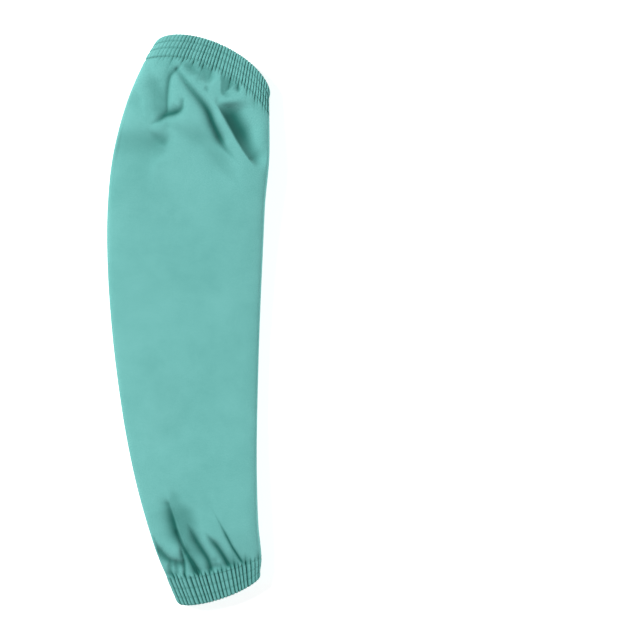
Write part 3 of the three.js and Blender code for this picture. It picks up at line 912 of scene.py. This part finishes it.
def thread_piece(name, parts):
    points = np.vstack([part[0] for part in parts])
    starts = np.cumsum([0] + [len(part[0]) for part in parts])
    faces = [tuple(start + i for i in face) for start, part in zip(starts, parts) for face in part[1]]
    mesh = bpy.data.meshes.new(name)
    mesh.from_pydata(points.tolist(), [], faces)
    if volume_of(mesh) < 0:
        mesh.flip_normals()
    mesh.polygons.foreach_set("use_smooth", np.ones(len(mesh.polygons), dtype=bool))
    piece = bpy.data.objects.new(name, mesh)
    bpy.context.scene.collection.objects.link(piece)
    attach(piece, "root")
    print(name, "faces:", len(mesh.polygons))
    return piece


# %% [markdown]
# The rows follow the cloth. For each rib the middle of its crest is looked up, the surface is
# measured there in two directions, and the stitch is turned to lie along the row.

# %% Sew the stitch rows
ROW_STEP = 0.0004


def surface_points(cuff, t, shares, lift):
    at = cuff["edge"] + (cuff["rim"] - cuff["edge"]) * t
    cut = section(at)
    inset = rib_inset(cuff, shares, t) - lift
    return skin(cut, angles_at(cut, shares), inset, -cuff["outward"] * RIM_RADIUS * t) + SHIFT


def crest_shares(cuff):
    shares = np.linspace(0, 1, SHARE_STEPS + 1)[:-1]
    phase = rib_phase(cuff, shares)
    goal = np.arange(math.ceil(phase[0]), math.floor(phase[-1])) + 0.5
    return np.interp(goal, phase, shares)


def stitch_row(cuff, t):
    shares = crest_shares(cuff)
    step = ROW_STEP / girth(cuff["rim"])
    centres = surface_points(cuff, t, shares, LIFT)
    along = surface_points(cuff, t, shares + step, 0.0) - surface_points(cuff, t, shares - step, 0.0)
    out = surface_points(cuff, t, shares, MEASURING_HEIGHT) - surface_points(cuff, t, shares, 0.0)
    return copy_stitches(centres, along, out, STITCH_HALF)


threads = {}
for name, cuff in CUFFS.items():
    rows = [stitch_row(cuff, t) for t in ROW_SHARES]
    threads[name] = thread_piece(f"{name}_stitches", rows)

# %% [markdown]
# The seam is a flat fell: both edges are folded in and sewn down with two rows, so that sparks find
# no raw edge. Its rows keep clear of the cuffs, where the gathers hide them.

# %% Sew the seam
SEAM_PITCH = 0.0032
SEAM_STITCH_HALF = 0.0013
SEAM_CLEAR = 0.045
ROW_PLACE = 0.7
STATION_STEP = 0.001


def seam_points(stations, share, lift):
    points = []
    for at in stations:
        cut = section(at)
        points.append(skin(cut, angles_at(cut, np.array([share])), -SEAM_RISE - lift)[0] + SHIFT)
    return np.array(points)


def seam_row(share):
    count = int((UPPER_EDGE - LOWER_EDGE - 2 * SEAM_CLEAR) * LENGTH / SEAM_PITCH)
    stations = np.linspace(LOWER_EDGE + SEAM_CLEAR, UPPER_EDGE - SEAM_CLEAR, count)
    centres = seam_points(stations, share, LIFT)
    before, after = (seam_points(stations + side * STATION_STEP, share, 0.0) for side in (-1, 1))
    out = seam_points(stations, share, MEASURING_HEIGHT) - seam_points(stations, share, 0.0)
    return copy_stitches(centres, after - before, out, SEAM_STITCH_HALF)


seam_rows = [seam_row(SEAM + side * ROW_PLACE * SEAM_HALF) for side in (-1, 1)]
threads["seam"] = thread_piece("seam_stitches", seam_rows)

# %% [markdown]
# A finish is a graph of nodes that ends in one shader. Written out node by node it is long, so a
# few helpers add a node with its settings, mix two values and stretch one over another range. A
# wave texture of scale 1 has a fixed distance between its bands, and slanting bands are twice as
# far apart along an axis, so a distance in metres is turned into a scale by these two.

# %% Helpers for finishes
WAVE_PERIODS = {"Y": 2 * math.pi / 20, "DIAGONAL": 2 * math.pi / 10}
MIX_SOCKETS = {"FLOAT": (0, 2, 3, 0), "RGBA": (0, 6, 7, 2)}


def node_maker(material):
    material.use_nodes = True
    tree = material.node_tree

    def add(kind, **values):
        node = tree.nodes.new(kind)
        for key, value in values.items():
            if key in node.inputs:
                node.inputs[key].default_value = value
            else:
                setattr(node, key, value)
        return node

    return tree, tree.nodes["Principled BSDF"], add


def mixed(tree, add, kind, factor, first, second, blend="MIX"):
    node = add("ShaderNodeMix", data_type=kind, blend_type=blend)
    *places, result = MIX_SOCKETS[kind]
    for place, value in zip(places, (factor, first, second)):
        if isinstance(value, bpy.types.NodeSocket):
            tree.links.new(value, node.inputs[place])
        else:
            node.inputs[place].default_value = value
    return node.outputs[result]


def stretched(tree, add, value, low=0.0, high=1.0, to_low=0.0, to_high=1.0):
    node = add("ShaderNodeMapRange")
    for name, end in (("From Min", low), ("From Max", high), ("To Min", to_low), ("To Max", to_high)):
        node.inputs[name].default_value = end
    tree.links.new(value, node.inputs["Value"])
    return node.outputs["Result"]


def banded(tree, add, direction, pitch, colour, dark):
    place = add("ShaderNodeTexCoord").outputs["Object"]
    wave = add("ShaderNodeTexWave", wave_type="BANDS", bands_direction=direction)
    wave.inputs["Scale"].default_value = WAVE_PERIODS[direction] / pitch
    tree.links.new(place, wave.inputs["Vector"])
    darker = (*[dark * part for part in colour], 1)
    return wave, mixed(tree, add, "RGBA", wave.outputs["Fac"], darker, (*colour, 1))


print("metres between bands:", {name: round(period, 3) for name, period in WAVE_PERIODS.items()})

# %% [markdown]
# Cotton twill is a matt weave with fine slanting lines and a faint bloom of loose fibres. The lines
# run on the cloth's own map, in metres round and along the sleeve, so they bend with the folds. The
# dye is a little uneven. Hollows are darkened by the depth that each point keeps, because the soft
# light of a studio leaves them darker than two lamps do. The bloom is the shader's sheen, and its
# numbers stand on the shader's own sockets.

# %% Green twill
TWILL_COLOUR = (0.145, 0.412, 0.388)
TWILL_SHADE = (0.102, 0.330, 0.306)
# the dark green that painted shade mixes in at the bottoms of ribs and folds
PAINTED_SHADE_COLOUR = (0.004, 0.092, 0.074)
TWILL_LINE = 0.0016
SLANTED = 1.41
FIBRE_SHARE = 0.6
LINE_CONTRAST = 0.04
# the most that painted shade darkens the colour
DARKEST_SHADE = 0.95
FIBRE_HEIGHT = 0.5


def twill_material(name, colour, shade):
    material = bpy.data.materials.new(name)
    tree, shader, add = node_maker(material)
    link = tree.links.new
    cloth = add("ShaderNodeUVMap", uv_map="cloth").outputs["UV"]
    place = add("ShaderNodeTexCoord").outputs["Object"]
    blotches = add("ShaderNodeTexNoise", Scale=18.0, Detail=6.0, Roughness=0.7)
    fibres = add("ShaderNodeTexNoise", Scale=900.0, Detail=2.0, Roughness=0.7)
    lines = add("ShaderNodeTexWave", wave_type="BANDS", bands_direction="DIAGONAL", Distortion=1.2)
    lines.inputs["Scale"].default_value = WAVE_PERIODS["DIAGONAL"] / (TWILL_LINE * SLANTED)
    lines.inputs["Detail Scale"].default_value = 3.0
    for vector, pattern in ((place, blotches), (cloth, fibres), (cloth, lines)):
        link(vector, pattern.inputs["Vector"])
    blotch, fibre, line = (pattern.outputs["Fac"] for pattern in (blotches, fibres, lines))

    dye = stretched(tree, add, mixed(tree, add, "FLOAT", FIBRE_SHARE, blotch, fibre), 0.38, 0.62)
    dyed = mixed(tree, add, "RGBA", dye, (*colour, 1), (*shade, 1))
    woven = mixed(tree, add, "RGBA", LINE_CONTRAST, dyed, lines.outputs["Color"], "MULTIPLY")
    # painted shade: the colour darkens toward the shade colour by the amount each point keeps
    hollow = add("ShaderNodeAttribute", attribute_name="hollow").outputs["Fac"]
    depth = stretched(tree, add, hollow, to_high=DARKEST_SHADE)
    shaded = mixed(tree, add, "RGBA", depth, woven, (*PAINTED_SHADE_COLOUR, 1))
    link(shaded, shader.inputs["Base Color"])
    link(stretched(tree, add, fibre, to_low=0.80, to_high=0.98), shader.inputs["Roughness"])

    height = add("ShaderNodeMath", operation="MULTIPLY_ADD")
    link(fibre, height.inputs[0])
    height.inputs[1].default_value = FIBRE_HEIGHT
    link(line, height.inputs[2])
    bumps = add("ShaderNodeBump", Strength=0.25, Distance=0.00006)
    link(height.outputs["Value"], bumps.inputs["Height"])
    link(bumps.outputs["Normal"], shader.inputs["Normal"])
    shader.inputs["Specular IOR Level"].default_value = 0.15
    shader.inputs["Sheen Weight"].default_value = 0.12
    shader.inputs["Sheen Roughness"].default_value = 0.45
    shader.inputs["Sheen Tint"].default_value = (0.75, 0.95, 0.92, 1)
    return material


green_twill = twill_material("green_twill", TWILL_COLOUR, TWILL_SHADE)
for piece in (body_cloth, *cuff_cloths.values()):
    piece.data.materials.append(green_twill)
print("nodes in the twill:", len(green_twill.node_tree.nodes))

# %% [markdown]
# Thread and elastic are both spun or woven of round yarns, which show as bands: slanting ones on
# the twisted thread, and ribs along the web of the elastic, which also stand up a little. One
# banded colour serves both.

# %% Thread and elastic
# the thread's colour is partly its own darker green and partly painted shade of the troughs that the
# stitch rows draw in
THREAD_AND_SHADE_COLOUR = (0.095, 0.330, 0.285)
THREAD_TWIST = 0.0010
ELASTIC_COLOUR = (0.78, 0.76, 0.70)
ELASTIC_RIB = 0.0012


def thread_material():
    material = bpy.data.materials.new("green_thread")
    tree, shader, add = node_maker(material)
    twist, colour = banded(tree, add, "DIAGONAL", THREAD_TWIST, THREAD_AND_SHADE_COLOUR, dark=0.8)
    tree.links.new(colour, shader.inputs["Base Color"])
    shader.inputs["Roughness"].default_value = 0.6
    shader.inputs["Sheen Weight"].default_value = 0.2
    return material


def elastic_material():
    material = bpy.data.materials.new("woven_elastic")
    tree, shader, add = node_maker(material)
    web, colour = banded(tree, add, "Y", ELASTIC_RIB, ELASTIC_COLOUR, dark=0.85)
    tree.links.new(colour, shader.inputs["Base Color"])
    bumps = add("ShaderNodeBump", Strength=0.6, Distance=0.0003)
    tree.links.new(web.outputs["Fac"], bumps.inputs["Height"])
    tree.links.new(bumps.outputs["Normal"], shader.inputs["Normal"])
    shader.inputs["Roughness"].default_value = 0.85
    return material


green_thread = thread_material()
for piece in threads.values():
    piece.data.materials.append(green_thread)
woven_elastic = elastic_material()
for name in ("upper_elastic", "lower_elastic"):
    for slot in bpy.data.objects[name].material_slots:
        slot.material = woven_elastic
print("finishes:", sorted(material.name for material in (green_twill, green_thread, woven_elastic)))

# %% [markdown]
# The sleeve lies on a pale table under plain studio light. A broad lamp from the upper left draws
# the folds, a weaker one from the right keeps their far sides open, and the pale world fills the
# rest, as a white studio does.

# %% Light and floor
FLOOR_SIZE = 12.0
LAMP_DISTANCE = 6.0
KEY = {"name": "key", "direction": (-0.62, 0.34, 0.70), "size": 1.5, "power": 500}
FILL = {"name": "fill", "direction": (0.9, -0.1, 0.4), "size": 3.0, "power": 210}
WORLD_LIGHT = 0.2
TABLE_COLOUR = (0.88, 0.88, 0.88, 1)
TABLE_GLOW = 0.6
WHITE = (1, 1, 1, 1)


def add_lamp(facts):
    data = bpy.data.lights.new(facts["name"], "AREA")
    data.size = facts["size"]
    data.energy = facts["power"]
    lamp = bpy.data.objects.new(facts["name"], data)
    bpy.context.scene.collection.objects.link(lamp)
    direction = Vector(facts["direction"]).normalized()
    lamp.location = direction * LAMP_DISTANCE
    lamp.rotation_euler = direction.to_track_quat("Z", "Y").to_euler()


def add_floor():
    bpy.ops.object.select_all(action="DESELECT")
    bpy.ops.mesh.primitive_plane_add(size=FLOOR_SIZE, location=(0, 0, 0))
    floor = bpy.context.object
    floor.name = "studio_floor"
    material = bpy.data.materials.new("pale_floor")
    shader = node_maker(material)[1]
    shader.inputs["Base Color"].default_value = TABLE_COLOUR
    shader.inputs["Emission Color"].default_value = WHITE
    shader.inputs["Emission Strength"].default_value = TABLE_GLOW
    shader.inputs["Roughness"].default_value = 0.9
    shader.inputs["Specular IOR Level"].default_value = 0.1
    floor.data.materials.append(material)


def add_world():
    world = bpy.data.worlds.new("studio")
    world.use_nodes = True
    sky = world.node_tree.nodes["Background"]
    sky.inputs["Color"].default_value = WHITE
    sky.inputs["Strength"].default_value = WORLD_LIGHT
    bpy.context.scene.world = world


add_world()
add_floor()
add_lamp(KEY)
add_lamp(FILL)
bpy.context.scene.view_settings.view_transform = "Standard"
print("lamps:", KEY["name"], KEY["power"], "W and", FILL["name"], FILL["power"], "W")
